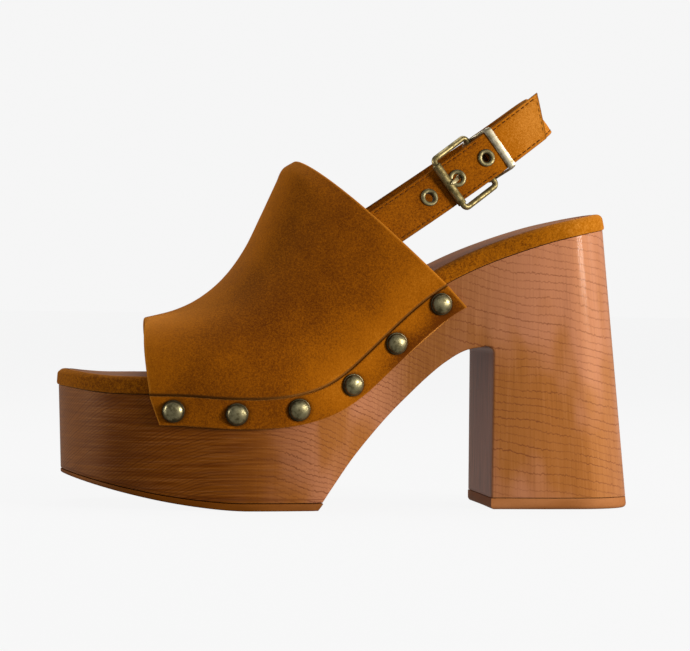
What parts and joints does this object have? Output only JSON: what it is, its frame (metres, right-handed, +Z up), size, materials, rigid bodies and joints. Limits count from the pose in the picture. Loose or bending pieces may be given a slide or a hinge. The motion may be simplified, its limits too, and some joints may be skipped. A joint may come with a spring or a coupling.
{
  "type": "platform clog sandal",
  "caption": "Left open-toe platform clog sandal with block heel, studded suede vamp and buckled sling strap.",
  "frame": {"origin": "on the floor, in the middle of the shoe's length and width, below its bounding box", "axes": "+Z up, -X towards the toe, -Y towards the outer side of the left foot"},
  "size_m": [0.2399, 0.1005, 0.1737],
  "materials": {
    "wood_unit": "satin, dark grain lines",
    "outsole": "satin",
    "suede": "napped suede",
    "lining": "smooth",
    "antique_brass": "aged, satin"
  },
  "bodies": {
    "root": {"platform_unit": "wood_unit", "forepart_outsole": "outsole", "heel_tip": "outsole", "footbed": "suede", "sock_lining": "lining", "upper": "suede", "stud_outer_1": "antique_brass", "stud_outer_2": "antique_brass", "stud_outer_3": "antique_brass", "stud_outer_4": "antique_brass", "stud_outer_5": "antique_brass", "stud_outer_6": "antique_brass", "stud_inner_1": "antique_brass", "stud_inner_2": "antique_brass", "stud_inner_3": "antique_brass", "stud_inner_4": "antique_brass", "stud_inner_5": "antique_brass", "stud_inner_6": "antique_brass", "tail_strap": "suede", "sling_strap": "suede", "buckle_frame": "antique_brass", "buckle_roller": "antique_brass", "buckle_prong": "antique_brass", "buckle_keeper": "antique_brass", "eyelet_1": "antique_brass", "eyelet_2": "antique_brass", "eyelet_3": "antique_brass"}
  },
  "joints": []
}
